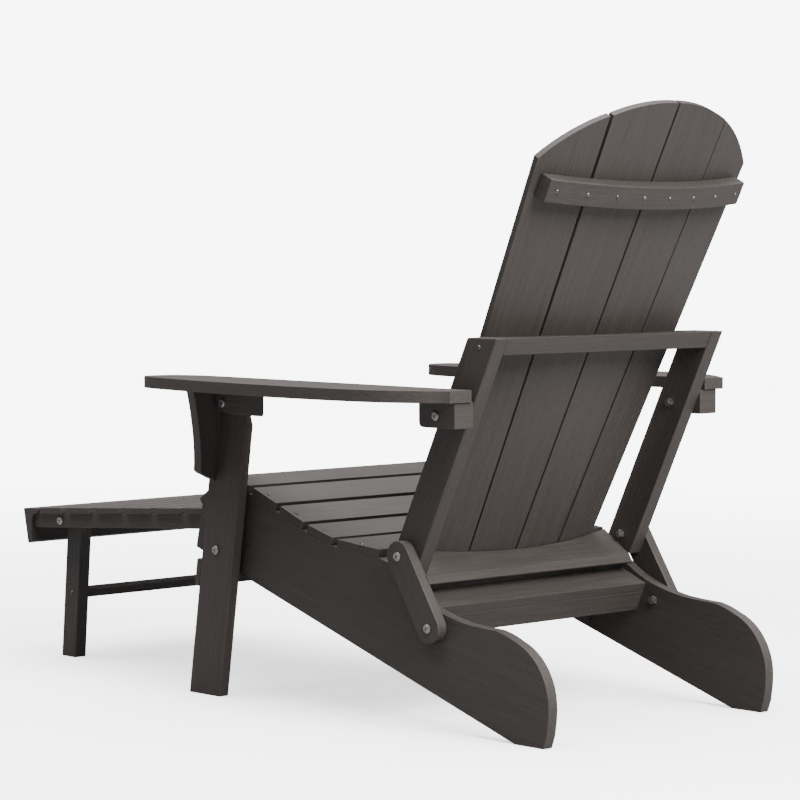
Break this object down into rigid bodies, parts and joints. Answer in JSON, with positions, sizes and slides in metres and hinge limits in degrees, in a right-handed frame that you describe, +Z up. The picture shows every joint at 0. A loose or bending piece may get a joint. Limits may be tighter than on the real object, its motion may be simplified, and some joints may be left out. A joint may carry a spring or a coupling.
{
  "type": "folding adirondack chair",
  "caption": "Folding adirondack lounge chair with a slatted arched back, flat arms and a pull-out slatted footrest on folding legs.",
  "frame": {"origin": "on the floor, at the centre of the open chair's footprint", "axes": "+Z up, the sitter faces -Y, +X towards the sitter's left; +Y is also the long direction of the opened chair"},
  "size_m": [0.7942, 1.3691, 0.9645],
  "materials": {
    "lumber": "embossed wood grain",
    "fasteners": "satin"
  },
  "bodies": {
    "seat_frame": {"side_rail_left": "lumber", "side_rail_right": "lumber", "seat_slat_1": "lumber", "seat_slat_2": "lumber", "seat_slat_3": "lumber", "seat_slat_4": "lumber", "seat_slat_5": "lumber", "seat_slat_6": "lumber", "rear_seat_board": "lumber", "rear_apron": "lumber", "seat_support": "lumber", "footrest_guide_left": "lumber", "footrest_guide_right": "lumber", "leg_spacers": "fasteners", "seat_screws": "fasteners", "link_lower_bolts": "fasteners", "leg_pivot_bolts": "fasteners"},
    "links": {"link_left": "lumber", "link_right": "lumber", "link_upper_bolts": "fasteners"},
    "front_legs": {"front_leg_left": "lumber", "front_leg_right": "lumber", "front_stretcher": "lumber", "arm_bracket_left": "lumber", "arm_bracket_right": "lumber"},
    "arms": {"arm_left": "lumber", "arm_right": "lumber", "arm_front_block_left": "lumber", "arm_front_block_right": "lumber", "arm_rear_block_left": "lumber", "arm_rear_block_right": "lumber", "arm_front_bolts": "fasteners", "arm_rear_bolts": "fasteners"},
    "back": {"back_upright_left": "lumber", "back_upright_right": "lumber", "back_upper_rail": "lumber", "back_lower_board": "lumber", "back_batten": "lumber", "back_slat_1": "lumber", "back_slat_2": "lumber", "back_slat_3": "lumber", "back_slat_4": "lumber", "back_screws": "fasteners", "arm_rear_nuts": "fasteners"},
    "slide_pins": {"footrest_slide_pins": "fasteners"},
    "footrest": {"footrest_rail_left": "lumber", "footrest_rail_right": "lumber", "footrest_slat_1": "lumber", "footrest_slat_2": "lumber", "footrest_slat_3": "lumber", "footrest_slat_4": "lumber", "footrest_slat_5": "lumber", "footrest_slat_6": "lumber", "footrest_apron": "lumber", "footrest_leg_bolts": "fasteners"},
    "footrest_legs": {"footrest_leg_left": "lumber", "footrest_leg_right": "lumber", "footrest_stretcher": "lumber", "footrest_leg_spacers": "fasteners", "footrest_screws": "fasteners"}
  },
  "joints": [
    {"name": "link_fold", "type": "hinge", "parent": "seat_frame", "child": "links", "pos_m": [0, 0.4215, 0.1595], "axis": [1, 0, 0], "range_deg": [-13.51, 0]},
    {"name": "back_fold", "type": "hinge", "parent": "links", "child": "back", "pos_m": [0, 0.3541, 0.265], "axis": [1, 0, 0], "range_deg": [0, 99.5]},
    {"name": "leg_fold", "type": "hinge", "parent": "seat_frame", "child": "front_legs", "pos_m": [0, -0.072, 0.2425], "axis": [1, 0, 0], "range_deg": [0, 83.12]},
    {"name": "arm_fold", "type": "hinge", "parent": "front_legs", "child": "arms", "pos_m": [0, -0.0315, 0.4875], "axis": [1, 0, 0], "range_deg": [-72.12, 0]},
    {"name": "footrest_slide", "type": "slide", "parent": "seat_frame", "child": "slide_pins", "axis": [0, 0.9636, -0.2672], "range_m": [0, 0.43]},
    {"name": "footrest_tilt", "type": "hinge", "parent": "slide_pins", "child": "footrest", "pos_m": [0, -0.142, 0.28], "axis": [1, 0, 0], "range_deg": [-18.02, 0]},
    {"name": "footrest_leg_fold", "type": "hinge", "parent": "footrest", "child": "footrest_legs", "pos_m": [0, -0.58383, 0.25065], "axis": [1, 0, 0], "range_deg": [0, 98]}
  ],
  "couplings": [
    {"joint": "link_fold", "follows": "back_fold", "ratio": -0.13568},
    {"joint": "leg_fold", "follows": "back_fold", "ratio": 0.83518},
    {"joint": "arm_fold", "follows": "back_fold", "ratio": -0.72462},
    {"joint": "footrest_tilt", "follows": "footrest_slide", "rad_per_m": -0.7306}
  ]
}
